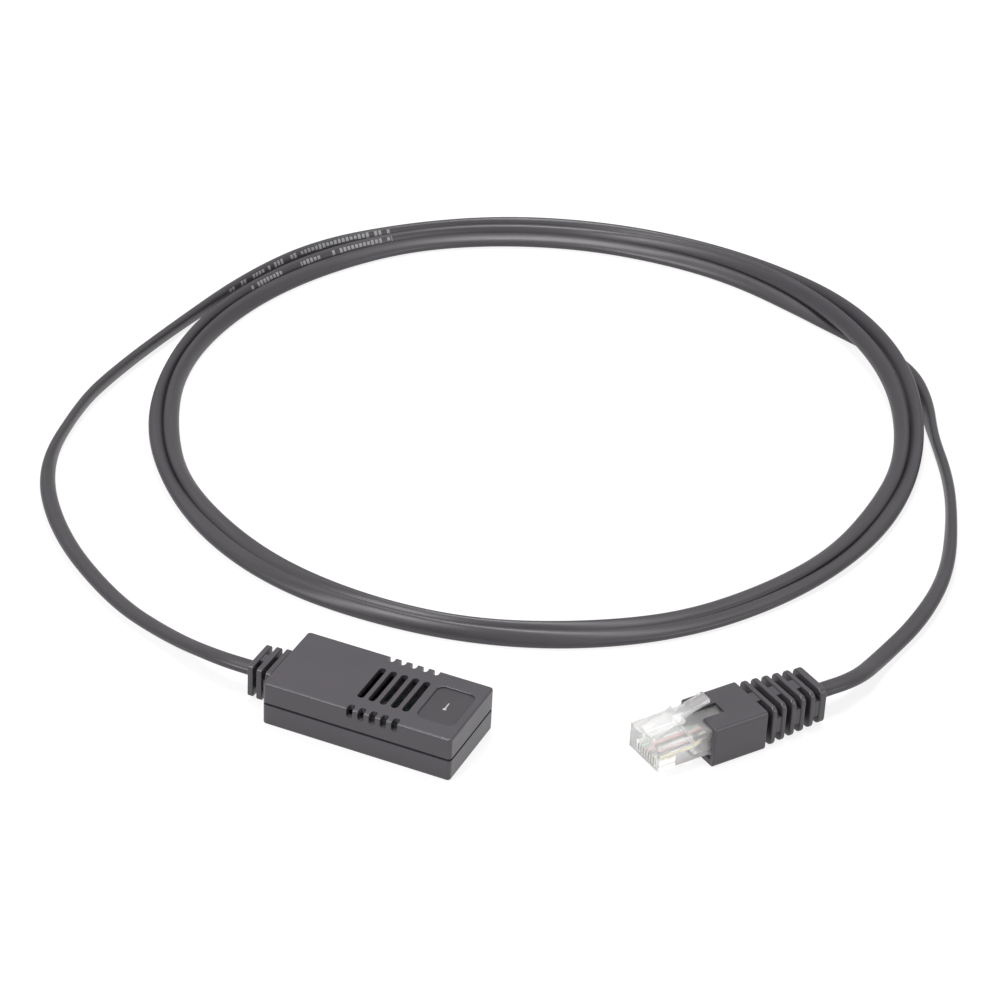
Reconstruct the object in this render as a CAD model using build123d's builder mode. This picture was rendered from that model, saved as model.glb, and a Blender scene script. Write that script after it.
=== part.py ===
from build123d import *
import os
from math import cos, radians, sin, tan

# Rack temperature sensor: a vented two-shell housing on a flat lead that ends in a booted modular plug.
# Sizes are millimetres. X runs along the housing, with the lead leaving at -X. Z is up.
# The origin is on the floor, under the middle of the housing.

# Housing shells
housing_length = 48.4
housing_width = 23.6
housing_height = 11.7
seam_height = 5.9
seam_gap = 0.62
lead_height = 5.4
wall = 1.5
skin = 0.8
floor_thickness = 1.5
roof_thickness = 1.4
corner_radius = 0.9
top_edge_radius = 0.5
base_edge_radius = 0.6
tongue_height = 1.3
fit_clearance = 0.1

# Vents: louvres across the roof and notches over both long edges, in line with each other
vent_count = 5
vent_pitch = 2.87
vent_setback = 20.2
louvre_width = 1.75
notch_width = 1.6
louvre_length = 13.0
notch_reach = 2.1
notch_drop = 2.4

# Sunk pad near the far end of the roof
pad_length = 9.6
pad_width = 13.6
pad_radius = 2.0
pad_depth = 0.4
pad_rim = 0.25
pad_setback = 6.8

# Circuit board and its carriers
board_thickness = 1.0
board_lift = 1.4
board_end_gap = 0.5
board_side_gap = 0.7
wire_room = 6.5
post_inset = 2.6
post_radius = 1.6
pin_radius = 0.7
pin_height = 0.8
hold_down_radius = 1.1
hold_down_end_inset = 6.6
hold_down_side_inset = 4.0

# Sensing chip and small components
chip_length = 4.9
chip_width = 3.9
chip_thickness = 1.45
chip_standoff = 0.15
chip_shift = -3.5
chip_offset = 1.0
leg_count = 4
leg_pitch = 1.27
leg_width = 0.42
leg_thickness = 0.22
leg_foot = 0.6
leg_span = 6.0
capacitor_length = 2.0
capacitor_width = 1.25
capacitor_height = 0.9
resistor_length = 1.6
resistor_width = 0.8
resistor_height = 0.45
resistor_pitch = 2.4

# Flat four-core cable
cable_width = 4.6
cable_thickness = 2.6
cable_clearance = 0.05
core_diameter = 0.84
core_pitch = 0.98
solder_pitch = 2.2
solder_reach = 2.4
jacket_tail = 1.8
core_colours = ["yellow", "black", "red", "green"]

# Strain relief at the housing, in plates
relief_plate_count = 3
relief_plate = 1.45
relief_gap = 1.05
relief_ground_gap = 1.0
relief_width_inner = 11.6
relief_width_outer = 10.2
relief_corner = 0.8
relief_edge = 0.25
relief_web = 2.8
neck_width = 7.0
neck_height = 4.8
neck_corner = 1.2
flange_width = 9.6
flange_height = 6.6
flange_thickness = 1.2

# Clear plug
plug_width = 11.68
plug_length = 21.46
plug_exposed = 15.1
nose_height = 6.6
plug_top = 10.0
plug_rear_drop = 1.6
plug_step = 0.8
plug_edge = 0.5
plug_clearance = 0.1
latch_angle = 17.0
latch_length = 16.4
latch_wide_length = 8.4
latch_width = 6.1
latch_tail_width = 3.2
latch_thickness = 1.2
latch_setback = 1.3
contact_count = 8
contact_pitch = 1.02
contact_thickness = 0.35
contact_length = 4.4
contact_height = 1.6
contact_sunk = 0.35
contact_setback = 1.7
channel_diameter = 0.95
channel_rise = 2.5
core_slots = [0, 2, 3, 5]
plug_cavity_width = 9.0
plug_cavity_height = 4.0
plug_cavity_floor = 0.6
plug_cavity_depth = 10.5
jacket_inset = 5.1
core_fan_start = 1.1
core_fan_end = 1.6

# Boot over the plug
boot_width = 14.4
boot_height = 10.9
boot_body_length = 15.0
boot_corner = 1.0
boot_edge = 0.3
boot_rib_count = 5
boot_rib = 1.3
boot_groove = 1.6
boot_end_rib = 1.9
boot_end_width = 11.6
boot_end_height = 9.8
boot_rib_corner = 1.6
boot_rib_edge = 0.4
boot_core_width = 7.4
boot_core_height = 5.4
boot_web_width = 3.4
boot_web_height = 4.2
boot_web_inset = 0.4
latch_slot_width = 3.9
latch_slot_length = 6.0
boot_stop = 0.4

# Place of the plug on the floor: the foot of the boot's front face and the turn of its axis
plug_place = (70.1, 25.4)
plug_turn = 56.2

# Coil: two turns, three strands where they overlap, as one closed ring
coil_place = (-21.6, 141.1)
coil_long_radius = 101.9
coil_short_radius = 98.6
coil_turn = 110.0
coil_band = 10.0
coil_height = 5.0
coil_edge = 1.8

# Both leads: the straight stretch next to the moulded ends, and the height of the cable's middle on the floor
lead_straight = 10.5
lay_height = 1.4

os.makedirs("parts", exist_ok=True)


# Values worked out from the sizes above
half_length = housing_length / 2
inner_length = housing_length - 2 * wall
inner_width = housing_width - 2 * wall
inner_corner = max(corner_radius - wall, 0.4)
lower_top = seam_height - seam_gap / 2
upper_base = seam_height + seam_gap / 2
tongue_top = lower_top + tongue_height
roof_under = housing_height - roof_thickness
vent_middle = half_length - vent_setback
pad_middle = half_length - pad_setback
chip_middle = vent_middle + chip_shift

board_length = inner_length - board_end_gap - wire_room
board_width = inner_width - 2 * board_side_gap
board_middle = half_length - wall - board_end_gap - board_length / 2
board_under = floor_thickness + board_lift
board_top = board_under + board_thickness
board_start = board_middle - board_length / 2
post_pitch_x = board_length - 2 * post_inset
post_pitch_y = board_width - 2 * post_inset
hold_down_pitch_x = board_length - 2 * hold_down_end_inset
hold_down_pitch_y = board_width - 2 * hold_down_side_inset

relief_start = -half_length
relief_pitch = relief_plate + relief_gap
relief_length = relief_plate_count * relief_pitch
relief_end = relief_start - relief_length
relief_height = 2 * (lead_height - relief_ground_gap)
jacket_start = relief_start + wall + flange_thickness + jacket_tail

plug_axis = Vector(cos(radians(plug_turn)), sin(radians(plug_turn)), 0)
plug_plane = Plane(origin=(*plug_place, 0), x_dir=plug_axis, z_dir=(0, 0, 1))
plug_side = Plane(origin=plug_plane.origin, x_dir=plug_axis, z_dir=-plug_plane.y_dir)
plug_rear = plug_length - plug_exposed
plug_base = plug_top - nose_height
plug_rear_base = plug_base - plug_rear_drop
channel_height = plug_base + channel_rise
boot_middle = boot_height / 2
boot_depth = plug_rear + boot_stop
boot_pitch = boot_rib + boot_groove
boot_length = boot_body_length + boot_rib_count * boot_pitch + boot_groove + boot_end_rib
jacket_end = plug_rear - jacket_inset


def across(x, z):
    """Plane facing along the housing at x, with its origin at height z."""
    return Plane(origin=(x, 0, z), x_dir=(0, 1, 0), z_dir=(1, 0, 0))


def plug_section(x, z=0):
    """Plane facing along the plug at x from the boot's front, with its origin at height z."""
    return Plane(plug_plane.from_local_coords((x, 0, z)), x_dir=plug_plane.y_dir, z_dir=plug_axis)


def plug_point(x, y, z):
    """Point given in the plug's own frame."""
    return plug_plane.from_local_coords((x, y, z))


def bend_radii(points):
    """Largest bend radius that the two runs at each corner of a route leave room for."""
    radii = []
    corners = [Vector(*point) for point in points]
    for before, corner, after in zip(corners, corners[1:], corners[2:]):
        run_in = corner - before
        run_out = after - corner
        half_turn = radians(run_in.get_angle(run_out)) / 2
        radii.append(0.45 * min(run_in.length, run_out.length) / tan(half_turn))
    return radii


def rounded_plate(plane, width, height, thickness, corner, edge):
    """Plate with rounded corners and softened rims, standing on the given plane."""
    with BuildPart() as plate:
        with BuildSketch(plane):
            RectangleRounded(width, height, corner)
        extrude(amount=thickness)
        rims = plate.faces().filter_by(Axis(plane.origin, plane.z_dir)).edges()
        fillet(rims, edge)
    return plate.part


def coil_ring(margin):
    """Flat oval ring round the coil's turns, grown by a margin on every side."""
    half_band = coil_band / 2 + margin
    with BuildPart() as ring:
        with BuildSketch(Plane.XY.offset(-margin)):
            with Locations(coil_place):
                Ellipse(coil_long_radius + half_band, coil_short_radius + half_band, rotation=coil_turn)
                Ellipse(
                    coil_long_radius - half_band,
                    coil_short_radius - half_band,
                    rotation=coil_turn,
                    mode=Mode.SUBTRACT,
                )
        extrude(amount=coil_height + 2 * margin)
        fillet(ring.faces().filter_by(Axis.Z).edges(), coil_edge)
    return ring.part


# Bottom shell: tray with a tongue for the upper shell, board posts and half of the lead's opening
with BuildPart() as bottom_shell:
    with BuildSketch():
        RectangleRounded(housing_length, housing_width, corner_radius)
    extrude(amount=lower_top)
    fillet(bottom_shell.faces().sort_by(Axis.Z)[0].edges(), base_edge_radius)
    with BuildSketch(Plane.XY.offset(lower_top)):
        tongue_inset = 2 * (skin + fit_clearance)
        RectangleRounded(housing_length - tongue_inset, housing_width - tongue_inset, inner_corner)
    extrude(amount=tongue_height)
    with BuildSketch(Plane.XY.offset(floor_thickness)):
        RectangleRounded(inner_length, inner_width, inner_corner)
    extrude(amount=tongue_top - floor_thickness, mode=Mode.SUBTRACT)
    with BuildSketch(Plane.XY.offset(floor_thickness)):
        with Locations((board_middle, 0)):
            with GridLocations(post_pitch_x, post_pitch_y, 2, 2):
                Circle(post_radius)
    extrude(amount=board_lift)
    with BuildSketch(Plane.XY.offset(board_under)):
        with Locations((board_middle, 0)):
            with Locations((-post_pitch_x / 2, post_pitch_y / 2), (post_pitch_x / 2, -post_pitch_y / 2)):
                Circle(pin_radius)
    extrude(amount=board_thickness + pin_height)
    with BuildSketch(across(relief_start, lead_height)):
        RectangleRounded(neck_width + 2 * fit_clearance, neck_height + 2 * fit_clearance, neck_corner)
    extrude(amount=wall, mode=Mode.SUBTRACT)
bottom_shell.part.label = "bottom_shell"
export_step(bottom_shell.part, "parts/bottom_shell.step")

# Top shell: cover with a rebate for the tongue, louvres, edge notches, sunk pad and hold-down pins
with BuildPart() as top_shell:
    with BuildSketch(Plane.XY.offset(upper_base)):
        RectangleRounded(housing_length, housing_width, corner_radius)
    extrude(amount=housing_height - upper_base)
    fillet(top_shell.faces().sort_by(Axis.Z)[-1].edges(), top_edge_radius)
    with BuildSketch(Plane.XY.offset(upper_base)):
        RectangleRounded(inner_length, inner_width, inner_corner)
    extrude(amount=roof_under - upper_base, mode=Mode.SUBTRACT)
    with BuildSketch(Plane.XY.offset(upper_base)):
        RectangleRounded(housing_length - 2 * skin, housing_width - 2 * skin, inner_corner)
    extrude(amount=tongue_top - upper_base, mode=Mode.SUBTRACT)
    with BuildSketch(Plane.XY.offset(board_top + fit_clearance)):
        with Locations((board_middle, 0)):
            with GridLocations(hold_down_pitch_x, hold_down_pitch_y, 2, 2):
                Circle(hold_down_radius)
    extrude(amount=roof_under - board_top - fit_clearance)
    with BuildSketch(Plane.XY.offset(housing_height)):
        with Locations((vent_middle, 0)):
            with GridLocations(vent_pitch, 1, vent_count, 1):
                SlotOverall(louvre_length, louvre_width, rotation=90)
            with GridLocations(vent_pitch, housing_width, vent_count, 2):
                SlotOverall(2 * notch_reach, notch_width, rotation=90)
    extrude(amount=-roof_thickness, mode=Mode.SUBTRACT)
    for side in (-1, 1):
        with BuildSketch(Plane(origin=(0, side * housing_width / 2, 0), x_dir=(1, 0, 0), z_dir=(0, -1, 0))):
            with Locations((vent_middle, housing_height)):
                with GridLocations(vent_pitch, 1, vent_count, 1):
                    SlotOverall(2 * notch_drop, notch_width, rotation=90)
        extrude(amount=side * wall, mode=Mode.SUBTRACT)
    with BuildSketch(Plane.XY.offset(housing_height)):
        with Locations((pad_middle, 0)):
            RectangleRounded(pad_length, pad_width, pad_radius)
    extrude(amount=-pad_depth, mode=Mode.SUBTRACT)
    roof_edges = top_shell.edges().filter_by_position(Axis.Z, housing_height, housing_height)
    pad_reach = (pad_middle - pad_length / 2, pad_middle + pad_length / 2)
    pad_edges = roof_edges.filter_by_position(Axis.X, *pad_reach)
    pad_edges = pad_edges.filter_by_position(Axis.Y, -pad_width / 2, pad_width / 2)
    fillet(pad_edges, pad_rim)
    with BuildSketch(across(relief_start, lead_height)):
        RectangleRounded(neck_width + 2 * fit_clearance, neck_height + 2 * fit_clearance, neck_corner)
    extrude(amount=wall, mode=Mode.SUBTRACT)
top_shell.part.label = "top_shell"
export_step(top_shell.part, "parts/top_shell.step")

# Circuit board, drilled for the locating pins
with BuildPart() as circuit_board:
    with BuildSketch(Plane.XY.offset(board_under)):
        with Locations((board_middle, 0)):
            Rectangle(board_length, board_width)
            with Locations((-post_pitch_x / 2, post_pitch_y / 2), (post_pitch_x / 2, -post_pitch_y / 2)):
                Circle(pin_radius + fit_clearance, mode=Mode.SUBTRACT)
    extrude(amount=board_thickness)
circuit_board.part.label = "circuit_board"
export_step(circuit_board.part, "parts/circuit_board.step")

# Sensing chip, where its legs show through the middle louvre
with BuildPart() as sensor_chip:
    with BuildSketch(Plane.XY.offset(board_top + chip_standoff)):
        with Locations((chip_middle, chip_offset)):
            Rectangle(chip_length, chip_width)
    extrude(amount=chip_thickness)
    chamfer(sensor_chip.faces().sort_by(Axis.Z)[-1].edges(), chip_standoff)
sensor_chip.part.label = "sensor_chip"
export_step(sensor_chip.part, "parts/sensor_chip.step")

# Chip legs: bent strips from the chip's sides down to the board
leg_shoulder = chip_standoff + chip_thickness / 2
leg_knee = leg_span / 2 - leg_foot
with BuildPart() as chip_legs:
    for index in range(leg_count):
        leg_place = chip_middle + (index - (leg_count - 1) / 2) * leg_pitch
        for side in (-1, 1):
            leg_foot_place = (leg_place, chip_offset, board_top)
            with BuildSketch(Plane(leg_foot_place, x_dir=(0, side, 0), z_dir=(side, 0, 0))):
                with BuildLine():
                    Polyline(
                        (chip_width / 2, leg_shoulder),
                        (leg_knee, leg_shoulder),
                        (leg_knee, leg_thickness),
                        (leg_span / 2, leg_thickness),
                        (leg_span / 2, 0),
                        (leg_knee - leg_thickness, 0),
                        (leg_knee - leg_thickness, leg_shoulder - leg_thickness),
                        (chip_width / 2, leg_shoulder - leg_thickness),
                        close=True,
                    )
                make_face()
            extrude(amount=leg_width / 2, both=True)
chip_legs.part.label = "chip_legs"
export_step(chip_legs.part, "parts/chip_legs.step")

# Bypass capacitor beside the chip
capacitor_place = chip_middle - chip_length / 2 - capacitor_width
with BuildPart() as bypass_capacitor:
    with BuildSketch(Plane.XY.offset(board_top)):
        with Locations((capacitor_place, chip_offset)):
            Rectangle(capacitor_width, capacitor_length)
    extrude(amount=capacitor_height)
bypass_capacitor.part.label = "bypass_capacitor"
export_step(bypass_capacitor.part, "parts/bypass_capacitor.step")

# Two chip resistors on the other side of the chip
resistor_place = chip_middle + chip_length / 2 + resistor_length
with BuildPart() as chip_resistors:
    with BuildSketch(Plane.XY.offset(board_top)):
        with Locations((resistor_place, chip_offset)):
            with GridLocations(1, resistor_pitch, 1, 2):
                Rectangle(resistor_length, resistor_width)
    extrude(amount=resistor_height)
chip_resistors.part.label = "chip_resistors"
export_step(chip_resistors.part, "parts/chip_resistors.step")

# Lead cores at the board: from the end of the jacket down to their solder places
solder_height = board_top + core_diameter / 2 + cable_clearance
core_bend = (board_start - jacket_start) / 3
for index, colour in enumerate(core_colours):
    rank = index - (len(core_colours) - 1) / 2
    core_route = [
        (jacket_start, rank * core_pitch, lead_height),
        (jacket_start + core_bend, rank * core_pitch, lead_height),
        (board_start, rank * solder_pitch, solder_height),
        (board_start + solder_reach, rank * solder_pitch, solder_height),
    ]
    with BuildPart() as sensor_core:
        with BuildLine():
            FilletPolyline(*core_route, radius=bend_radii(core_route))
        with BuildSketch(across(*core_route[0][::2])):
            with Locations((core_route[0][1], 0)):
                Circle(core_diameter / 2)
        sweep()
    sensor_core.part.label = "sensor_core_" + colour
    export_step(sensor_core.part, "parts/sensor_core_" + colour + ".step")

# Strain relief: inner flange, neck through the end wall and plates joined by alternate webs
relief_plates = []
for index in range(relief_plate_count):
    plate_face = relief_start - relief_gap - index * relief_pitch
    plate_share = index / (relief_plate_count - 1)
    plate_width = relief_width_inner + (relief_width_outer - relief_width_inner) * plate_share
    plate_plane = across(plate_face - relief_plate, lead_height)
    relief_plates.append(
        rounded_plate(plate_plane, plate_width, relief_height, relief_plate, relief_corner, relief_edge)
    )
with BuildPart() as strain_relief:
    with BuildSketch(across(relief_start + wall, lead_height)):
        RectangleRounded(flange_width, flange_height, neck_corner)
    extrude(amount=flange_thickness)
    with BuildSketch(across(relief_end, lead_height)):
        RectangleRounded(neck_width, neck_height, neck_corner)
    extrude(amount=relief_length + wall)
    for plate in relief_plates:
        add(plate)
    for index in range(1, relief_plate_count):
        with BuildSketch(across(relief_start - index * relief_pitch, lead_height)):
            if index % 2:
                Rectangle(relief_width_outer - 2 * relief_edge, relief_web)
            else:
                Rectangle(relief_web, relief_height - 2 * relief_edge)
        extrude(amount=-relief_gap)
    with BuildSketch(across(relief_end, lead_height)):
        SlotOverall(cable_width + 2 * cable_clearance, cable_thickness + 2 * cable_clearance)
    extrude(amount=relief_length + wall + flange_thickness, mode=Mode.SUBTRACT)
strain_relief.part.label = "strain_relief"
export_step(strain_relief.part, "parts/strain_relief.step")

# Coil: the turns' outer shape as one flat oval ring on the floor
with BuildPart() as cable_coil:
    add(coil_ring(0))
cable_coil.part.label = "cable_coil"
export_step(cable_coil.part, "parts/cable_coil.step")

# Room that the coil takes from both leads
coil_room = coil_ring(cable_clearance)

# Sensor lead: straight through the strain relief, then down to the floor and round to the coil
sensor_route = [
    (relief_end, 0, lead_height),
    (relief_end - lead_straight, 0, lead_height),
    (-58.8, 6, 2.4),
    (-78.5, 13.7, lay_height),
    (-105, 32.6, lay_height),
    (-124, 57.1, lay_height),
    (-131, 88.6, lay_height),
    (-131, 108.6, lay_height),
    (-128, 136.6, lay_height),
    (-119, 163, lay_height),
]
with BuildPart() as sensor_lead:
    with BuildLine():
        sensor_line = FilletPolyline(*sensor_route, radius=bend_radii(sensor_route))
    with BuildSketch(Plane(sensor_route[0], x_dir=(0, 1, 0), z_dir=(-1, 0, 0))):
        SlotOverall(cable_width, cable_thickness)
    sweep()
    swept_volume = sensor_lead.part.volume
    slot_area = sensor_lead.faces().sort_by(Axis.X)[-1].area
    print("sensor lead volume over section times length", swept_volume / (slot_area * sensor_line.length))
    print("sensor lead length", sensor_line.length, "radii", [round(r, 1) for r in bend_radii(sensor_route)])
    with BuildSketch(across(relief_end, lead_height)):
        SlotOverall(cable_width, cable_thickness)
    extrude(amount=jacket_start - relief_end)
    add(coil_room, mode=Mode.SUBTRACT)
sensor_lead.part.label = "sensor_lead"
export_step(sensor_lead.part, "parts/sensor_lead.step")

# Plug lead: from the plug's inside through the boot, then round to the coil
plug_route = [
    tuple(plug_point(boot_length, 0, boot_middle)),
    tuple(plug_point(boot_length + lead_straight, 0, boot_middle)),
    (97, 78.6, 2.4),
    (100.6, 99.3, lay_height),
    (100, 122.1, lay_height),
    (92.7, 147.6, lay_height),
    (85.5, 164.6, lay_height),
    (69, 190, lay_height),
    (52, 207, lay_height),
]
with BuildPart() as plug_lead:
    with BuildLine():
        plug_line = FilletPolyline(*plug_route, radius=bend_radii(plug_route))
    with BuildSketch(plug_section(boot_length, boot_middle)):
        SlotOverall(cable_width, cable_thickness)
    sweep()
    swept_volume = plug_lead.part.volume
    print("plug lead volume over section times length", swept_volume / (slot_area * plug_line.length))
    print("plug lead length", plug_line.length, "radii", [round(r, 1) for r in bend_radii(plug_route)])
    with BuildSketch(plug_section(jacket_end, boot_middle)):
        SlotOverall(cable_width, cable_thickness)
    extrude(amount=boot_length - jacket_end)
    add(coil_room, mode=Mode.SUBTRACT)
plug_lead.part.label = "plug_lead"
export_step(plug_lead.part, "parts/plug_lead.step")

# Boot: straight body with a slot for the latch, then ribs that taper towards the lead
rib_starts = [boot_body_length + boot_groove + index * boot_pitch for index in range(boot_rib_count + 1)]
rib_lengths = [boot_rib] * boot_rib_count + [boot_end_rib]
boot_ribs = []
for start, length in zip(rib_starts, rib_lengths):
    taper = (start + length - boot_body_length) / (boot_length - boot_body_length)
    rib_width = boot_width + (boot_end_width - boot_width) * taper
    rib_height = boot_height + (boot_end_height - boot_height) * taper
    rib_plane = plug_section(start, boot_middle)
    boot_ribs.append(rounded_plate(rib_plane, rib_width, rib_height, length, boot_rib_corner, boot_rib_edge))
boot_body = rounded_plate(
    plug_section(0, boot_middle), boot_width, boot_height, boot_body_length, boot_corner, boot_edge
)
with BuildPart() as plug_boot:
    add(boot_body)
    with BuildSketch(plug_section(boot_body_length, boot_middle)):
        RectangleRounded(boot_core_width, boot_core_height, boot_corner)
    extrude(amount=boot_length - boot_body_length - boot_end_rib)
    for rib in boot_ribs:
        add(rib)
    for index, start in enumerate(rib_starts):
        taper = (start - boot_body_length) / (boot_length - boot_body_length)
        web_width = boot_width + (boot_end_width - boot_width) * taper - 2 * boot_web_inset
        web_height = boot_height + (boot_end_height - boot_height) * taper - 2 * boot_web_inset
        with BuildSketch(plug_section(start - boot_groove, boot_middle)):
            if index % 2:
                Rectangle(web_width, boot_web_height)
            else:
                Rectangle(boot_web_width, web_height)
        extrude(amount=boot_groove)
    cavity_height = plug_top - plug_rear_base + 2 * plug_clearance
    with BuildSketch(plug_section(0, (plug_top + plug_rear_base) / 2)):
        Rectangle(plug_width + 2 * plug_clearance, cavity_height)
    extrude(amount=boot_depth, mode=Mode.SUBTRACT)
    with BuildSketch(plug_plane.offset(boot_height)):
        Rectangle(2 * latch_slot_length, latch_slot_width)
    extrude(amount=-(boot_height - plug_top), mode=Mode.SUBTRACT)
    with BuildSketch(plug_section(boot_depth, boot_middle)):
        SlotOverall(cable_width + 2 * cable_clearance, cable_thickness + 2 * cable_clearance)
    extrude(amount=boot_length - boot_depth, mode=Mode.SUBTRACT)
plug_boot.part.label = "plug_boot"
export_step(plug_boot.part, "parts/plug_boot.step")

# Clear plug: stepped body with its sprung latch, core channels, contact slots and a hollow for the jacket
contact_places = [(index - (contact_count - 1) / 2) * contact_pitch for index in range(contact_count)]
contact_front = -plug_exposed + contact_setback
latch_root = plug_point(-plug_exposed + latch_setback, 0, plug_top)
latch_direction = plug_axis * cos(radians(latch_angle)) + Vector(0, 0, sin(radians(latch_angle)))
latch_normal = Vector(0, 0, cos(radians(latch_angle))) - plug_axis * sin(radians(latch_angle))
latch_plane = Plane(latch_root, x_dir=latch_direction, z_dir=latch_normal)
latch_bury = latch_setback / 2
with BuildPart() as plug_body:
    with BuildSketch(plug_side):
        with BuildLine():
            Polyline(
                (-plug_exposed, plug_base),
                (plug_step, plug_base),
                (plug_step, plug_rear_base),
                (plug_rear, plug_rear_base),
                (plug_rear, plug_top),
                (-plug_exposed, plug_top),
                close=True,
            )
        make_face()
    extrude(amount=plug_width / 2, both=True)
    fillet(plug_body.faces().sort_by(Axis(plug_plane.origin, plug_axis))[0].edges(), plug_edge)
    with BuildSketch(latch_plane):
        with Locations((-latch_bury, 0)):
            Rectangle(latch_wide_length + latch_bury, latch_width, align=(Align.MIN, Align.CENTER))
            Rectangle(latch_length + latch_bury, latch_tail_width, align=(Align.MIN, Align.CENTER))
    extrude(amount=latch_thickness)
    with BuildSketch(plug_section(plug_rear, plug_base + plug_cavity_floor)):
        Rectangle(plug_cavity_width, plug_cavity_height, align=(Align.CENTER, Align.MIN))
    extrude(amount=-plug_cavity_depth, mode=Mode.SUBTRACT)
    with BuildSketch(plug_section(plug_rear - plug_cavity_depth, channel_height)):
        with GridLocations(contact_pitch, 1, contact_count, 1):
            Circle(channel_diameter / 2)
    extrude(amount=-(plug_length - plug_cavity_depth - contact_setback), mode=Mode.SUBTRACT)
    with BuildSketch(plug_plane.offset(plug_base)):
        with Locations((contact_front, 0)):
            with GridLocations(1, contact_pitch, 1, contact_count):
                Rectangle(
                    contact_length + plug_clearance,
                    contact_thickness + plug_clearance,
                    align=(Align.MIN, Align.CENTER),
                )
    extrude(amount=channel_rise, mode=Mode.SUBTRACT)
plug_body.part.label = "plug_body"
export_step(plug_body.part, "parts/plug_body.step")

# Contact blades in their slots under the cores
with BuildPart() as plug_contacts:
    with BuildSketch(plug_plane.offset(plug_base + contact_sunk)):
        with Locations((contact_front + plug_clearance / 2, 0)):
            with GridLocations(1, contact_pitch, 1, contact_count):
                Rectangle(contact_length, contact_thickness, align=(Align.MIN, Align.CENTER))
    extrude(amount=contact_height)
plug_contacts.part.label = "plug_contacts"
export_step(plug_contacts.part, "parts/plug_contacts.step")

# Lead cores in the plug: from the end of the jacket into their channels
channel_start = plug_rear - plug_cavity_depth
core_stop = contact_front + plug_clearance
for index, colour in enumerate(core_colours):
    rank = index - (len(core_colours) - 1) / 2
    channel_place = contact_places[core_slots[index]]
    core_route = [
        (jacket_end, rank * core_pitch, boot_middle),
        (jacket_end - core_fan_start, rank * core_pitch, boot_middle),
        (channel_start + core_fan_end, channel_place, channel_height),
        (core_stop, channel_place, channel_height),
    ]
    core_points = [tuple(plug_point(*point)) for point in core_route]
    with BuildPart() as plug_core:
        with BuildLine():
            FilletPolyline(*core_points, radius=bend_radii(core_points))
        with BuildSketch(plug_section(jacket_end, boot_middle)):
            with Locations((rank * core_pitch, 0)):
                Circle(core_diameter / 2)
        sweep()
    plug_core.part.label = "plug_core_" + colour
    export_step(plug_core.part, "parts/plug_core_" + colour + ".step")
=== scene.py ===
import bpy
import numpy as np
from bpy.props import FloatProperty, FloatVectorProperty, IntProperty, PointerProperty
from mathutils import Matrix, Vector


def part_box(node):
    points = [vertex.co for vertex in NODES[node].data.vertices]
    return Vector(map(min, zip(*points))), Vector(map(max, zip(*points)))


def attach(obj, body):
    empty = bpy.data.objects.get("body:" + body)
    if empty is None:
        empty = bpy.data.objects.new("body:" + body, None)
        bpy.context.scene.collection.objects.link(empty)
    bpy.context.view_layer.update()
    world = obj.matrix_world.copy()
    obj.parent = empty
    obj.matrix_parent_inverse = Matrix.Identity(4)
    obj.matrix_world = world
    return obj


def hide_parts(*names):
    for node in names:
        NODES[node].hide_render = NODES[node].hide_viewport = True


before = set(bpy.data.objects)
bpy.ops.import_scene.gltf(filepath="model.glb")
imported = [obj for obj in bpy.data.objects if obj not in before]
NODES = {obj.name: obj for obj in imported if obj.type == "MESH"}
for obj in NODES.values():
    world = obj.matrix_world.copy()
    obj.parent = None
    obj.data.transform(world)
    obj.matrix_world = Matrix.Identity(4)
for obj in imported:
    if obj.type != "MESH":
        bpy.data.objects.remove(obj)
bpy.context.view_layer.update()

bl_info = {
    "name": "Rack temperature sensor",
    "version": (1, 0, 0),
    "blender": (4, 5, 0),
    "location": "View3D > Sidebar > Rack sensor",
    "description": "Dresses a vented rack temperature sensor, its flat lead and its clear plug",
    "category": "Object",
}

MM = 0.001

# Route of the lead outside the coil, in millimetres: part.py's points, nudged to follow the photograph
SENSOR_POINTS = [
    (-19.7, 0, 5.4), (-31.7, 0, 5.4), (-42.2, 0, 5.4), (-58.8, 6.0, 2.3), (-78.5, 13.7, 1.7),
    (-105, 32.6, 1.9), (-124, 57.1, 2.35), (-131, 88.6, 2.35), (-131, 108.6, 2.35), (-128.5, 136.6, 2.35),
]
PLUG_POINTS = [
    (85.5, 164.6, 2.4), (92.4, 147.4, 2.35), (99.7, 122.0, 2.3), (100.2, 99.3, 1.9), (96.7, 78.9, 1.7),
    (95.7, 63.9, 5.1), (88.9, 53.7, 5.45), (70.9, 26.65, 5.45),
]

# Innermost strand, which dives under the other two: angle on the floor in degrees, then radius and height
INNER_STRAND = [
    (165, 97.9, 2.05), (150, 98.4, 1.9), (135, 99.8, 1.8), (120, 99.3, 1.74), (105, 99.3, 1.72), (90, 98.8, 1.9),
    (78, 98.65, 1.98), (66, 98.5, 1.78), (58, 100.15, 1.43), (49, 104.6, 1.45), (41, 107.4, 1.75), (32, 106.2, 2.15),
    (23, 105.6, 2.35),
]

# The loose turns go clockwise round a centre on the floor, from a start angle in equal steps, in degrees
COIL_CENTRE = np.array((-21.64, 141.1))
COIL_START = 165.0
COIL_STEP = 15.0
COIL_COUNT = 48

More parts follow.
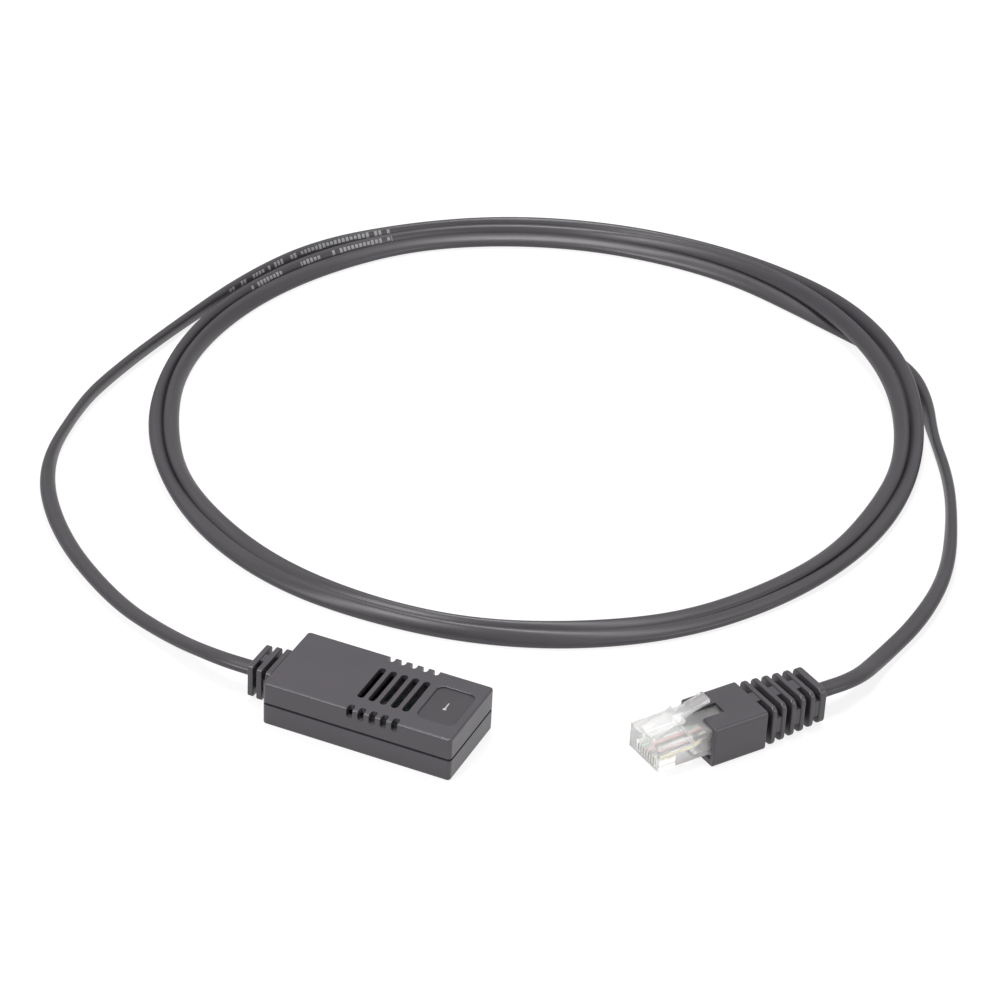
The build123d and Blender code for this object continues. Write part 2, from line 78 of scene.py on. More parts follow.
# Their shape every 15 degrees on the floor: radius of the middle lane, spacing of the lanes, lean of the flat
COIL_ANGLES = list(range(0, 360, 15))
COIL_RADII = [
    95.6, 97.15, 98.1, 99.35, 100.6, 101.3, 101.9, 101.9, 101.85, 101.65, 100.7, 99.85,
    99.45, 99.3, 99.62, 100.5, 100.7, 101.35, 101.3, 101.45, 99.85, 98.6, 96.65, 96.2,
]
COIL_LANES = [
    4.45, 3.6, 4.1, 5.2, 5.9, 5.3, 5.2, 4.5, 4.2, 3.8, 5.4, 4.2,
    3.5, 2.95, 3.95, 3.7, 4.6, 4.45, 3.05, 2.9, 4.2, 4.6, 4.6, 4.4,
]
COIL_LEANS = [
    10, 38, 44, 52, 58, 62, 64, 64, 64, 66, 70, 70,
    66, 66, 28, 32, -4, -22, -60, -66, -32, -3, 4, 18,
]

# Low humps over the innermost strand: degrees turned where each starts to rise, is up, starts to fall and is down
HUMPS = ((80, 112, 132, 152), (425, 446, 492, 512))
HUMP_RISE = 3.2
FLOOR_GAP = 0.06

# Lean of the flat section near the two ends: distance from that end in millimetres, then degrees
SENSOR_LEANS = [(0, 0), (16, 0), (30, 10), (60, 12), (100, 18), (115, 34), (140, 102), (200, 108), (225, 100)]
PLUG_LEANS = [
    (0, 0), (45, 0), (80, 8), (105, 46), (130, 78), (165, 100), (190, 38), (215, 4), (232, 8), (246, 27), (260, 41),
    (281, 39), (300, 28), (340, 22), (380, 26), (416, 44), (435, 56), (450, 66), (490, 40),
]
# Distance from each end, in millimetres, over which its leans give way to the coil's, and points they are averaged over
SENSOR_BLEND = (205, 260)
PLUG_BLEND = (450, 500)
LEAN_WINDOW = 17

# Power of the cosine and sine in the jacket's section: 1 is an ellipse, and less fills its corners
OVAL_POWER = 0.87

# Plain marks on the jacket, in metres along the lead and in shares of the way round
MARK_SPANS = ((0.227, 0.288), (0.878, 0.893), (0.9, 0.931))
MARK_PITCH = 0.0013
MARK_MIDDLE = 0.178

# Cores as pale as they look through the clear plug
CORE_COLOURS = {
    "yellow": (0.86, 0.78, 0.5),
    "black": (0.1, 0.075, 0.07),
    "red": (0.8, 0.5, 0.45),
    "green": (0.52, 0.72, 0.6),
}

# Sunk pad, in metres: its middle from the housing's end, its floor and the layer below the top that is darkened as
# painted shade, half sizes
PAD_SETBACK = 0.0068
PAD_FLOOR = 0.0004
PAD_LAYER = 0.00036
PAD_REACH = (0.0048, 0.0068, 0.0003)
# Share of the shell's colour that the painted shade leaves in the sunk pad
PAD_PAINTED_SHADE = 0.72
SIGN_SHIFT = -0.0009
SIGN_STEM_HALF = 0.00017
SIGN_THICKNESS = 0.00003

# Floor and lamps, in metres: each lamp's place, the point it faces and its size
FLOOR_REACH = 6.0
FLOOR_DROP = 0.0001
KEY_LAMP = ((-0.33, -0.72, 0.8), (0.0, 0.08, 0.0), 0.38)
OVERHEAD_LAMP = ((-0.1, 0.3, 1.0), (0.0, 0.1, 0.0), 0.32)
FILL_LAMP = ((0.85, -0.1, 0.45), (0.0, 0.08, 0.0), 0.5)


class HousingSettings(bpy.types.PropertyGroup):
    """Finish of the two shells and of the sign on the sunk pad."""

    plastic: FloatVectorProperty(
        name="Shell plastic", description="Colour of both shells", subtype="COLOR", default=(0.0555, 0.0492, 0.0582)
    )
    grain: FloatProperty(
        name="Grain", description="Depth of the moulded grain", default=0.000012, unit="LENGTH", precision=6
    )
    sign: FloatVectorProperty(
        name="Sign", description="Colour of the temperature sign", subtype="COLOR", default=(0.42, 0.42, 0.43)
    )
    sign_bulb: FloatProperty(
        name="Bulb radius", description="Radius of the sign's bulb", default=0.00045, unit="LENGTH", precision=5
    )
    sign_stem: FloatProperty(
        name="Stem length", description="Reach of the sign's stem", default=0.0025, unit="LENGTH", precision=5
    )


class LeadSettings(bpy.types.PropertyGroup):
    """Size and finish of the flat lead."""

    width: FloatProperty(
        name="Width", description="Width of the flat jacket", default=0.0046, unit="LENGTH", precision=4
    )
    thickness: FloatProperty(
        name="Thickness", description="Thickness of the flat jacket", default=0.0026, unit="LENGTH", precision=4
    )
    around: IntProperty(name="Around", description="Points round the jacket's section", default=40, min=12)
    jacket: FloatVectorProperty(
        name="Jacket", description="Colour of the jacket", subtype="COLOR", default=(0.0355, 0.031, 0.0374)
    )
    marks: FloatVectorProperty(
        name="Marks", description="Colour of the plain marks on it", subtype="COLOR", default=(0.36, 0.36, 0.37)
    )
    moulding: FloatVectorProperty(
        name="Moulded ends", description="Colour of the boot and relief", subtype="COLOR",
        default=(0.0535, 0.0478, 0.056),
    )


class PlugSettings(bpy.types.PropertyGroup):
    """Finish of the clear plug."""

    clear: FloatVectorProperty(
        name="Clear plastic", description="Tint of the plug", subtype="COLOR", default=(0.98, 0.977, 0.978)
    )
    contact: FloatVectorProperty(
        name="Contacts", description="Colour of the plated blades", subtype="COLOR", default=(0.95, 0.91, 0.8)
    )


class StageSettings(bpy.types.PropertyGroup):
    """Camera, floor and light."""

    azimuth: FloatProperty(name="Azimuth", description="Camera's turn, in degrees", default=22.794)
    elevation: FloatProperty(name="Elevation", description="Camera's height, in degrees", default=32.825)
    lean: FloatProperty(name="Lean", description="Camera's roll, in degrees", default=3.04)
    place: FloatVectorProperty(
        name="Camera place", description="Where the camera stands", subtype="TRANSLATION",
        default=(0.287, -0.61607, 0.50268),
    )
    lens: FloatProperty(name="Lens", description="Focal length in millimetres", default=129.6)
    ambient: FloatProperty(name="Ambient", description="Strength of the even light", default=0.33)
    gloss_level: FloatProperty(name="Gloss level", description="Even light as gloss shows it", default=0.68)
    key: FloatProperty(name="Key", description="Power of the lamp in front", default=7.8, unit="POWER")
    overhead: FloatProperty(name="Overhead", description="Power of the lamp above", default=6.6, unit="POWER")
    fill: FloatProperty(name="Fill", description="Power of the lamp at the side", default=2.5, unit="POWER")


def new_material(name):
    """Node material with one Principled shader, given with its nodes, its links and that shader."""
    material = bpy.data.materials.new(name)
    material.use_nodes = True
    return material, material.node_tree.nodes, material.node_tree.links, material.node_tree.nodes["Principled BSDF"]


def add_node(nodes, kind, inputs=(), **settings):
    """One node with its settings and the values of its unlinked sockets."""
    node = nodes.new(kind)
    for key, value in settings.items():
        setattr(node, key, value)
    for key, value in dict(inputs).items():
        node.inputs[key].default_value = value
    return node


def calculate(nodes, links, operation, *values):
    """Output of a Math node that is fed by numbers or by other sockets."""
    node = add_node(nodes, "ShaderNodeMath", operation=operation)
    for socket, value in zip(node.inputs, values):
        if isinstance(value, (int, float)):
            socket.default_value = value
        else:
            links.new(value, socket)
    return node.outputs["Value"]


def rgba(colour, share=1.0):
    """Colour with full alpha, darkened or lightened by a share."""
    return (*[min(1.0, part * share) for part in colour], 1.0)


def two_shades(nodes, links, factor, colour, darker, lighter):
    """Colour that goes between two shades of one colour with a factor."""
    blend = add_node(nodes, "ShaderNodeMix", data_type="RGBA")
    blend.inputs["A"].default_value = rgba(colour, darker)
    blend.inputs["B"].default_value = rgba(colour, lighter)
    links.new(factor, blend.inputs["Factor"])
    return blend.outputs["Result"]


def vary_roughness(nodes, links, shader, factor, least, most):
    """Roughness that goes between two values with a factor."""
    gloss = add_node(nodes, "ShaderNodeMapRange", {"To Min": least, "To Max": most})
    links.new(factor, gloss.inputs["Value"])
    links.new(gloss.outputs["Result"], shader.inputs["Roughness"])


def object_noise(nodes, links, scale, detail=2.0):
    """Noise on Object coordinates."""
    place = add_node(nodes, "ShaderNodeTexCoord")
    noise = add_node(nodes, "ShaderNodeTexNoise", {"Scale": scale, "Detail": detail})
    links.new(place.outputs["Object"], noise.inputs["Vector"])
    return noise.outputs["Fac"]


def lift_surface(nodes, links, shader, height, strength, distance):
    """Bump from a height, laid over any bump that the shader already has."""
    lift = add_node(nodes, "ShaderNodeBump", {"Strength": strength, "Distance": distance})
    links.new(height, lift.inputs["Height"])
    normal = shader.inputs["Normal"]
    if normal.is_linked:
        links.new(normal.links[0].from_socket, lift.inputs["Normal"])
    links.new(lift.outputs["Normal"], normal)


def grained(name, colour, roughness, spread=0.1, fine=2600.0, broad=90.0, depth=0.00001):
    """Moulded finish: broad and fine noise mix two shades of one colour, and the fine noise also lifts the surface."""
    material, nodes, links, shader = new_material(name)
    wide = object_noise(nodes, links, broad, 3.0)
    tight = object_noise(nodes, links, fine)
    both = calculate(nodes, links, "MULTIPLY_ADD", wide, 0.55, calculate(nodes, links, "MULTIPLY", tight, 0.45))
    tone = two_shades(nodes, links, both, colour, 1 - spread, 1 + spread)
    links.new(tone, shader.inputs["Base Color"])
    vary_roughness(nodes, links, shader, wide, roughness - 0.06, roughness + 0.06)
    lift_surface(nodes, links, shader, tight, 0.6, depth)
    shader.inputs["Specular IOR Level"].default_value = 0.5
    return material


def paint_shade_inside(material, middle, reach, share):
    """Painted shade: multiplies a material's colour by a share inside an upright box, given by its middle and half
    sizes in metres.
    """
    nodes, links = material.node_tree.nodes, material.node_tree.links
    socket = nodes["Principled BSDF"].inputs["Base Color"]
    plain = socket.links[0].from_socket
    place = add_node(nodes, "ShaderNodeTexCoord")
    parts = add_node(nodes, "ShaderNodeSeparateXYZ")
    links.new(place.outputs["Object"], parts.inputs["Vector"])
    inside = 1.0
    for axis, centre, half in zip("XYZ", middle, reach):
        near = calculate(nodes, links, "COMPARE", parts.outputs[axis], centre, half)
        inside = calculate(nodes, links, "MULTIPLY", near, inside)
    darker = add_node(nodes, "ShaderNodeMix", data_type="RGBA", blend_type="MULTIPLY")
    darker.inputs["B"].default_value = (share, share, share, 1.0)
    links.new(inside, darker.inputs["Factor"])
    links.new(plain, darker.inputs["A"])
    links.new(darker.outputs["Result"], socket)


def dress(node, material):
    """Gives a CAD node one material."""
    slots = NODES[node].data.materials
    slots.clear()
    slots.append(material)


def mesh_piece(name, points, faces, material):
    """New object at the origin from arrays of points and faces, smooth shaded, riding on the root."""
    mesh = bpy.data.meshes.new(name)
    mesh.from_pydata(points, [], faces)
    mesh.polygons.foreach_set("use_smooth", np.ones(len(mesh.polygons), bool))
    mesh.materials.append(material)
    mesh.update()
    piece = bpy.data.objects.new(name, mesh)
    bpy.context.scene.collection.objects.link(piece)
    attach(piece, "root")
    return piece


def spline_points(controls):
    """Points read along one open NURBS spline of order 3 that is pulled by the given control points."""
    curve = bpy.data.curves.new("route", "CURVE")
    curve.dimensions = "3D"
    spline = curve.splines.new("NURBS")
    spline.points.add(len(controls) - 1)
    weighted = np.column_stack([controls, np.ones(len(controls))])
    spline.points.foreach_set("co", weighted.ravel())
    spline.order_u = 3
    spline.use_endpoint_u = True
    spline.resolution_u = 16
    holder = bpy.data.objects.new("route", curve)
    bpy.context.scene.collection.objects.link(holder)
    bpy.context.view_layer.update()
    mesh = bpy.data.meshes.new_from_object(holder)
    line = np.empty(len(mesh.vertices) * 3)
    mesh.vertices.foreach_get("co", line)
    bpy.data.objects.remove(holder)
    bpy.data.curves.remove(curve)
    bpy.data.meshes.remove(mesh)
    return line.reshape(-1, 3)


def smooth_step(values, start, end):
    """Rises from 0 at start to 1 at end, level at both."""
    share = np.clip((values - start) / (end - start), 0, 1)
    return share * share * (3 - 2 * share)


def coil_shape(angles, table):
    """Value of one of the coil's tables at angles in degrees, going round without a seam."""
    return np.interp(np.mod(angles, 360), COIL_ANGLES, table, period=360)


def flat_half_height(leans, width, thickness):
    """Half the height of a flat section with round edges that leans by the given degrees."""
    return (width - thickness) / 2 * np.abs(np.sin(np.radians(leans))) + thickness / 2


def round_centre(angle, radius, height):
    """Point at an angle in degrees and a radius about the coil's centre."""
    turn = np.radians(angle)
    return (COIL_CENTRE[0] + radius * np.cos(turn), COIL_CENTRE[1] + radius * np.sin(turn), height)


def coil_points(width, thickness):
    """Control points of the turns: a spiral that loses one lane a turn, and rises over the innermost strand.
    Each radius is divided by the cosine of half a step, because the spline cuts inside its control points."""
    points = []
    for step in range(COIL_COUNT):
        turned = step * COIL_STEP
        angle = COIL_START - turned
        lane = 1 + (COIL_START - 90 - turned) / 360
        radius = coil_shape(angle, COIL_RADII) + lane * coil_shape(angle, COIL_LANES)
        radius /= np.cos(np.radians(COIL_STEP / 2))
        height = flat_half_height(coil_shape(angle, COIL_LEANS), width, thickness)
        height += FLOOR_GAP + HUMP_RISE * sum(np.interp(turned, hump, (0, 1, 1, 0)) for hump in HUMPS)
        points.append(round_centre(angle, radius, height))
    return points


def lead_controls(width, thickness):
    """All control points of the lead in metres: sensor end, turns, innermost strand, plug end."""
    inner = [round_centre(*row) for row in INNER_STRAND]
    return np.array(SENSOR_POINTS + coil_points(width, thickness) + inner + PLUG_POINTS) * MM


def lead_leans(line, along):
    """Lean of the flat section in degrees at each point: the end tables near the ends, the coil's table between."""
    turns = np.degrees(np.arctan2(line[:, 1] - COIL_CENTRE[1] * MM, line[:, 0] - COIL_CENTRE[0] * MM))
    coil = coil_shape(turns, COIL_LEANS)
    left = along[-1] - along
    near = np.interp(along / MM, *np.transpose(SENSOR_LEANS))
    far = np.interp(left / MM, *np.transpose(PLUG_LEANS))
    near_share = smooth_step(along / MM, *SENSOR_BLEND)
    far_share = smooth_step(left / MM, *PLUG_BLEND)
    leans = np.where(
        along < left, near * (1 - near_share) + coil * near_share, far * (1 - far_share) + coil * far_share
    )
    kernel = np.hanning(LEAN_WINDOW)
    padded = np.pad(leans, LEAN_WINDOW // 2, mode="edge")
    return np.convolve(padded, kernel / kernel.sum(), mode="valid")


def flat_tube(line, leans, width, thickness, around):
    """Flat oval carried along a line and turned by the lean about it. Across the oval the half width goes with the
    cosine and the half thickness with the sine of the way round, both to a power below one, which fills the corners a
    little. The side axis is level and the other axis is across it, so lean 0 lies flat and lean 90 stands on edge."""
    ahead = np.gradient(line, axis=0)
    ahead /= np.linalg.norm(ahead, axis=1)[:, None]
    side = np.stack([-ahead[:, 1], ahead[:, 0], np.zeros(len(line))], 1)
    side /= np.linalg.norm(side, axis=1)[:, None]
    rise = np.cross(ahead, side)
    turn = np.radians(leans)[:, None]
    broad = np.cos(turn) * side + np.sin(turn) * rise
    thin = np.cos(turn) * rise - np.sin(turn) * side
    angle = np.linspace(0, 2 * np.pi, around, endpoint=False)
    wide = width / 2 * np.sign(np.cos(angle)) * np.abs(np.cos(angle)) ** OVAL_POWER
    high = thickness / 2 * np.sign(np.sin(angle)) * np.abs(np.sin(angle)) ** OVAL_POWER
    return line[:, None] + wide[None, :, None] * broad[:, None] + high[None, :, None] * thin[:, None]


def tube_faces(rings, around):
    """Quads between neighbouring rings of points, and one face over each end."""
    row, column = np.meshgrid(np.arange(rings - 1), np.arange(around), indexing="ij")
    after = (column + 1) % around
    quads = np.stack(
        [row * around + column, row * around + after, (row + 1) * around + after, (row + 1) * around + column], -1
    )
    faces = quads.reshape(-1, 4).tolist()
    faces.append(list(range(around - 1, -1, -1)))
    faces.append([(rings - 1) * around + place for place in range(around)])
    return faces


def chart_lead(lead, along, around):
    """UV map of the tube: distance along the lead in metres, and share of the way round, which is 1 at the seam's
    second side."""
    loops = np.empty(len(lead.data.loops), int)
    lead.data.loops.foreach_get("vertex_index", loops)
    round_share = (loops % around) / around
    quads = (len(along) - 1) * around
    corner = np.arange(quads * 4).reshape(-1, around, 4)
    round_share[corner[:, -1, 1:3].ravel()] = 1.0
    chart = lead.data.uv_layers.new(name="along_lead")
    chart.data.foreach_set("uv", np.stack([along[loops // around], round_share], 1).ravel())


def jacket_material(settings):
    """Satin jacket: noise drawn out along the lead, and plain bars on the broad side inside the marked spans.
    The UV map holds the distance along the lead in metres and the share of the way round."""
    material, nodes, links, shader = new_material("satin_jacket")
    place = add_node(nodes, "ShaderNodeUVMap", uv_map="along_lead")
    parts = add_node(nodes, "ShaderNodeSeparateXYZ")
    links.new(place.outputs["UV"], parts.inputs["Vector"])
    along, round_share = parts.outputs["X"], parts.outputs["Y"]

    def math(operation, *values):
        return calculate(nodes, links, operation, *values)

    stretch = add_node(nodes, "ShaderNodeMapping", {"Scale": (60.0, 9.0, 1.0)})
    noise = add_node(nodes, "ShaderNodeTexNoise", {"Scale": 1.0, "Detail": 4.0})
    links.new(place.outputs["UV"], stretch.inputs["Vector"])
    links.new(stretch.outputs["Vector"], noise.inputs["Vector"])
    streaks = noise.outputs["Fac"]

    cell = math("MULTIPLY", along, 1 / MARK_PITCH)
    draw = add_node(nodes, "ShaderNodeTexWhiteNoise", noise_dimensions="1D")
    links.new(math("FLOOR", cell), draw.inputs["W"])
    chance = draw.outputs["Value"]
    bar = math("LESS_THAN", math("FRACT", cell), 0.66)
    shown = math("GREATER_THAN", chance, 0.24)
    band = math("COMPARE", round_share, MARK_MIDDLE, math("MULTIPLY_ADD", chance, 0.03, 0.028))
    inside = 0.0
    for start, end in MARK_SPANS:
        inside = math("ADD", math("COMPARE", along, (start + end) / 2, (end - start) / 2), inside)
    mask = math("MULTIPLY", math("MULTIPLY", bar, shown), math("MULTIPLY", band, inside))
    colour = add_node(nodes, "ShaderNodeMix", data_type="RGBA")
    colour.inputs["B"].default_value = rgba(settings.marks)
    links.new(math("MULTIPLY", mask, math("MULTIPLY_ADD", streaks, 0.9, 0.2)), colour.inputs["Factor"])
    links.new(two_shades(nodes, links, streaks, settings.jacket, 0.7, 1.3), colour.inputs["A"])
    links.new(colour.outputs["Result"], shader.inputs["Base Color"])

    vary_roughness(nodes, links, shader, streaks, 0.35, 0.47)
    lift_surface(nodes, links, shader, object_noise(nodes, links, 3200.0), 0.4, 0.000008)
    lift_surface(nodes, links, shader, streaks, 0.5, 0.00009)
    shader.inputs["Specular IOR Level"].default_value = 0.58
    return material


class RACKSENSOR_OT_lead(bpy.types.Operator):
    """Lays the flat lead from the housing through its loose turns to the plug, and dresses its moulded ends"""

    bl_idname = "rack_sensor.lead"
    bl_label = "Lay the lead"

    def execute(self, context):
        settings = context.scene.rack_lead
        line = spline_points(lead_controls(settings.width / MM, settings.thickness / MM))
        steps = np.linalg.norm(np.diff(line, axis=0), axis=1)
        along = np.concatenate([[0], np.cumsum(steps)])
        rings = flat_tube(line, lead_leans(line, along), settings.width, settings.thickness, settings.around)
        faces = tube_faces(len(line), settings.around)
        lead = mesh_piece("flat_lead", rings.reshape(-1, 3), faces, jacket_material(settings))
        chart_lead(lead, along, settings.around)
        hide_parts("sensor_lead", "cable_coil", "plug_lead")
        moulding = grained("moulded_end", settings.moulding, 0.34, spread=0.08, fine=2200, broad=140, depth=0.00001)
        dress("strain_relief", moulding)
        dress("plug_boot", moulding)
        return {"FINISHED"}


def sign_surface(bulb, stem, stem_half, thickness, around=96, levels=5):
    """Polar sheet round the bulb's centre: its reach is the bulb's radius, or the stem's edge where that is further.
    The rim drops to the pad in a quarter round, so the sheet is a thin closed cap."""
    angle = np.linspace(0, 2 * np.pi, around, endpoint=False)
    up, across = np.sin(angle), np.abs(np.cos(angle))
    to_side = stem_half / np.maximum(across, 1e-6)
    to_tip = stem / np.maximum(up, 1e-6)
    reach = np.maximum(bulb, np.where(up > 0, np.minimum(to_side, to_tip), 0))
    share = np.sin(np.linspace(0, np.pi / 2, levels + 1))[1:]
    height = thickness * np.sqrt(np.maximum(0, 1 - share ** 6))
    points = np.stack(
        [
            np.outer(share, reach * np.cos(angle)),
            np.outer(share, reach * np.sin(angle)),
            np.repeat(height[:, None], around, 1),
        ],
        -1,
    ).reshape(-1, 3)
    points = np.concatenate([points, [(0, 0, thickness), (0, 0, 0)]])
    faces = tube_faces(levels, around)[:-2]
    column = np.arange(around)
    after = (column + 1) % around
    centre, base = levels * around, levels * around + 1
    faces += np.stack([np.full(around, centre), column, after], 1).tolist()
    rim = (levels - 1) * around
    faces += np.stack([np.full(around, base), rim + after, rim + column], 1).tolist()
    return points, [face[::-1] if len(face) == 4 else face for face in faces]


class RACKSENSOR_OT_housing(bpy.types.Operator):
    """Dresses both shells in grained plastic with painted shade in the sunk pad, and sets a plain temperature sign on
    the pad
    """

    bl_idname = "rack_sensor.housing"
    bl_label = "Dress the housing"

    def execute(self, context):
        settings = context.scene.rack_housing
        plastic = grained("shell_plastic", settings.plastic, 0.34, spread=0.07, depth=settings.grain)
        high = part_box("top_shell")[1]
        # Painted shade: the shell's colour is darkened inside the sunk pad
        paint_shade_inside(plastic, (high.x - PAD_SETBACK, 0.0, high.z - PAD_LAYER), PAD_REACH, PAD_PAINTED_SHADE)
        dress("top_shell", plastic)
        dress("bottom_shell", plastic)
        paint = grained("sign_paint", settings.sign, 0.6, spread=0.12, fine=6000, broad=900, depth=0.000004)
        points, faces = sign_surface(settings.sign_bulb, settings.sign_stem, SIGN_STEM_HALF, SIGN_THICKNESS)
        points = points + np.array((high.x - PAD_SETBACK, SIGN_SHIFT, high.z - PAD_FLOOR))
        sign = mesh_piece("temperature_sign", points, faces, paint)
        return {"FINISHED"}


def board_material():
    """Solder mask over copper: brick lines stand for tracks, and noise breaks its gloss."""
    material, nodes, links, shader = new_material("solder_mask")
    place = add_node(nodes, "ShaderNodeTexCoord")
    tracks = add_node(nodes, "ShaderNodeTexBrick", {
        "Scale": 420.0, "Mortar Size": 0.03, "Brick Width": 0.9,
        "Color1": (0.01, 0.018, 0.014, 1), "Color2": (0.012, 0.022, 0.017, 1), "Mortar": (0.04, 0.06, 0.05, 1),
    })
    links.new(place.outputs["Object"], tracks.inputs["Vector"])
    links.new(tracks.outputs["Color"], shader.inputs["Base Color"])
    vary_roughness(nodes, links, shader, object_noise(nodes, links, 700.0), 0.25, 0.4)
    return material


def metal(name, colour, roughness, scale):
    """Plated or tinned metal whose gloss is broken by noise."""
    material, nodes, links, shader = new_material(name)
    smear = object_noise(nodes, links, scale, 3.0)
    links.new(two_shades(nodes, links, smear, colour, 0.88, 1.08), shader.inputs["Base Color"])
    vary_roughness(nodes, links, shader, smear, roughness - 0.08, roughness + 0.1)
    shader.inputs["Metallic"].default_value = 1.0
    return material


class RACKSENSOR_OT_electronics(bpy.types.Operator):
    """Dresses the board, the chip and the small components behind the louvres"""

    bl_idname = "rack_sensor.electronics"
    bl_label = "Dress the electronics"

    def execute(self, context):
        dress("circuit_board", board_material())
        dress("sensor_chip", grained("chip_resin", (0.022, 0.022, 0.024), 0.5, spread=0.2, fine=5000, broad=600))
        glaze = grained("resistor_glaze", (0.03, 0.03, 0.035), 0.35, spread=0.25, fine=6000, broad=900)
        dress("chip_resistors", glaze)
        ceramic = grained("fired_ceramic", (0.42, 0.3, 0.19), 0.45, spread=0.15, fine=6000, broad=900)
        dress("bypass_capacitor", ceramic)
        dress("chip_legs", metal("tinned_legs", (0.78, 0.78, 0.79), 0.28, 2500.0))
        return {"FINISHED"}


def clear_material(tint):
    """Polished clear plastic: light passes through it, and faint flow lines break its gloss."""
    material, nodes, links, shader = new_material("clear_plastic")
    flow = object_noise(nodes, links, 260.0)
    vary_roughness(nodes, links, shader, flow, 0.04, 0.16)
    lift_surface(nodes, links, shader, flow, 0.25, 0.00004)
    shader.inputs["Base Color"].default_value = rgba(tint)
    shader.inputs["IOR"].default_value = 1.23
    shader.inputs["Transmission Weight"].default_value = 0.86
    shader.inputs["Coat Weight"].default_value = 0.7
    shader.inputs["Coat IOR"].default_value = 1.5
    shader.inputs["Coat Roughness"].default_value = 0.06
    return material


class RACKSENSOR_OT_plug(bpy.types.Operator):
    """Dresses the clear plug, its contact blades and the coloured cores at both ends of the lead"""

    bl_idname = "rack_sensor.plug"
    bl_label = "Dress the plug"

    def execute(self, context):
        settings = context.scene.rack_plug
        dress("plug_body", clear_material(settings.clear))
        dress("plug_contacts", metal("plated_blades", settings.contact, 0.26, 1800.0))
        for name, colour in CORE_COLOURS.items():
            skin = grained("core_" + name, colour, 0.38, spread=0.1, fine=4000, broad=500, depth=0.000004)
            dress("plug_core_" + name, skin)
            dress("sensor_core_" + name, skin)
        return {"FINISHED"}


def floor_material():
    """White floor that keeps a faint shadow: mostly its own white where it is seen, plain grey where it only lights.
    It is seen by rays from the camera, off gloss or through clear plastic."""
    material = bpy.data.materials.new("white_floor")
    material.use_nodes = True
    nodes, links = material.node_tree.nodes, material.node_tree.links
    nodes.clear()
    plain = add_node(nodes, "ShaderNodeBsdfDiffuse", {"Color": (0.75, 0.75, 0.75, 1)})
    shaded = add_node(nodes, "ShaderNodeBsdfDiffuse", {"Color": (0.2, 0.2, 0.2, 1)})
    white = add_node(nodes, "ShaderNodeEmission", {"Strength": 0.83})
    both = add_node(nodes, "ShaderNodeAddShader")
    pick = add_node(nodes, "ShaderNodeMixShader")
    out = add_node(nodes, "ShaderNodeOutputMaterial")
    rays = add_node(nodes, "ShaderNodeLightPath").outputs
    seen = calculate(nodes, links, "MAXIMUM", rays["Is Camera Ray"], rays["Is Glossy Ray"])
    seen = calculate(nodes, links, "MAXIMUM", seen, rays["Is Transmission Ray"])
    links.new(shaded.outputs["BSDF"], both.inputs[0])
    links.new(white.outputs["Emission"], both.inputs[1])
    links.new(seen, pick.inputs["Fac"])
    links.new(plain.outputs["BSDF"], pick.inputs[1])
    links.new(both.outputs["Shader"], pick.inputs[2])
    links.new(pick.outputs["Shader"], out.inputs["Surface"])
    return material


def lay_floor():
    """Square white floor just under the object."""
    corners = np.array([(-1, -1, 0), (1, -1, 0), (1, 1, 0), (-1, 1, 0)]) * FLOOR_REACH - (0, 0, FLOOR_DROP)
    mesh = bpy.data.meshes.new("floor")
    mesh.from_pydata(corners.tolist(), [], [(0, 1, 2, 3)])
    mesh.materials.append(floor_material())
    floor = bpy.data.objects.new("floor", mesh)
    bpy.context.scene.collection.objects.link(floor)


def even_light(ambient, gloss_level):
    """World that is white where it is seen directly or through clear plastic, and two lower levels where it lights:
    one for gloss and one for the rest."""
    world = bpy.data.worlds.new("even_light")
    world.use_nodes = True
    nodes, links = world.node_tree.nodes, world.node_tree.links
    light = nodes["Background"]
    light.inputs["Color"].default_value = (1, 1, 1, 1)
    rays = add_node(nodes, "ShaderNodeLightPath").outputs
    level = add_node(nodes, "ShaderNodeMapRange", {"To Min": ambient, "To Max": gloss_level})
    links.new(rays["Is Glossy Ray"], level.inputs["Value"])
    seen = calculate(nodes, links, "MAXIMUM", rays["Is Camera Ray"], rays["Is Transmission Ray"])
    links.new(calculate(nodes, links, "MAXIMUM", level.outputs["Result"], seen), light.inputs["Strength"])
    bpy.context.scene.world = world


def set_object(name, data, place, axes):
    """Object for a lamp or camera at a place, with its axes as the columns of an array."""
    holder = bpy.data.objects.new(name, data)
    holder.matrix_world = Matrix.Translation(place) @ Matrix(axes.tolist()).to_4x4()
    bpy.context.scene.collection.objects.link(holder)
    return holder


def area_lamp(name, place, aim, size, power):
    """Square lamp at a place, turned to face a point."""
    lamp = bpy.data.lights.new(name, "AREA")
    lamp.size = size
    lamp.energy = power
    away = np.array(place) - np.array(aim)
    away = away / np.linalg.norm(away)
    side = np.cross((0.0, 1.0, 0.0), away)
    side /= np.linalg.norm(side)
    set_object(name, lamp, place, np.stack([side, np.cross(away, side), away], 1))


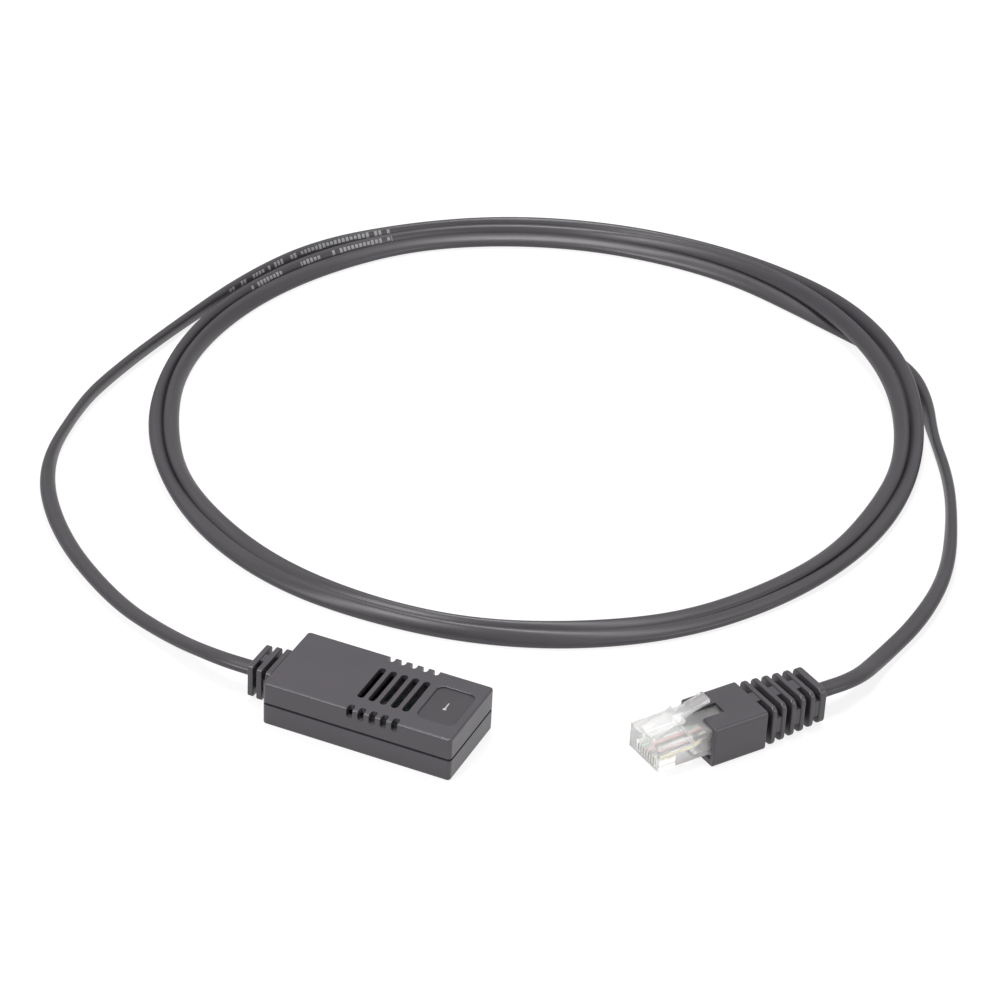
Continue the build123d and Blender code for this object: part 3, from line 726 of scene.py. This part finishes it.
class RACKSENSOR_OT_stage(bpy.types.Operator):
    """Sets the floor, the even light, the lamps and the camera"""

    bl_idname = "rack_sensor.stage"
    bl_label = "Set the stage"

    def execute(self, context):
        scene = context.scene
        settings = scene.rack_stage
        scene.view_settings.view_transform = "Standard"
        lay_floor()
        even_light(settings.ambient, settings.gloss_level)
        area_lamp("key", *KEY_LAMP, settings.key)
        area_lamp("overhead", *OVERHEAD_LAMP, settings.overhead)
        area_lamp("fill", *FILL_LAMP, settings.fill)

        turn, rise, lean = np.radians((settings.azimuth, settings.elevation, settings.lean))
        back = np.array((np.sin(turn) * np.cos(rise), -np.cos(turn) * np.cos(rise), np.sin(rise)))
        right = np.array((np.cos(turn), np.sin(turn), 0.0))
        up = np.cross(back, right)
        axes = np.stack(
            [np.cos(lean) * right + np.sin(lean) * up, np.cos(lean) * up - np.sin(lean) * right, back], 1
        )
        camera = bpy.data.cameras.new("camera")
        camera.sensor_width = 36.0
        camera.lens = settings.lens
        camera.clip_start = 0.01
        scene.camera = set_object("camera", camera, settings.place, axes)
        return {"FINISHED"}


class RACKSENSOR_PT_panel(bpy.types.Panel):
    """Steps that dress the sensor, in order"""

    bl_label = "Rack sensor"
    bl_idname = "RACKSENSOR_PT_panel"
    bl_space_type = "VIEW_3D"
    bl_region_type = "UI"
    bl_category = "Rack sensor"

    def draw(self, context):
        for step in STEPS:
            self.layout.operator(step.bl_idname)


STEPS = (
    RACKSENSOR_OT_stage,
    RACKSENSOR_OT_lead,
    RACKSENSOR_OT_housing,
    RACKSENSOR_OT_electronics,
    RACKSENSOR_OT_plug,
)
SETTINGS = {
    "rack_housing": HousingSettings,
    "rack_lead": LeadSettings,
    "rack_plug": PlugSettings,
    "rack_stage": StageSettings,
}


def register():
    for kind in (*SETTINGS.values(), *STEPS, RACKSENSOR_PT_panel):
        bpy.utils.register_class(kind)
    for name, kind in SETTINGS.items():
        setattr(bpy.types.Scene, name, PointerProperty(type=kind))


def unregister():
    for name in SETTINGS:
        delattr(bpy.types.Scene, name)
    for kind in reversed((*SETTINGS.values(), *STEPS, RACKSENSOR_PT_panel)):
        bpy.utils.unregister_class(kind)


def main():
    register()
    bpy.ops.rack_sensor.stage()
    bpy.ops.rack_sensor.lead()
    bpy.ops.rack_sensor.housing()
    bpy.ops.rack_sensor.electronics()
    bpy.ops.rack_sensor.plug()


if __name__ == "__main__":
    main()
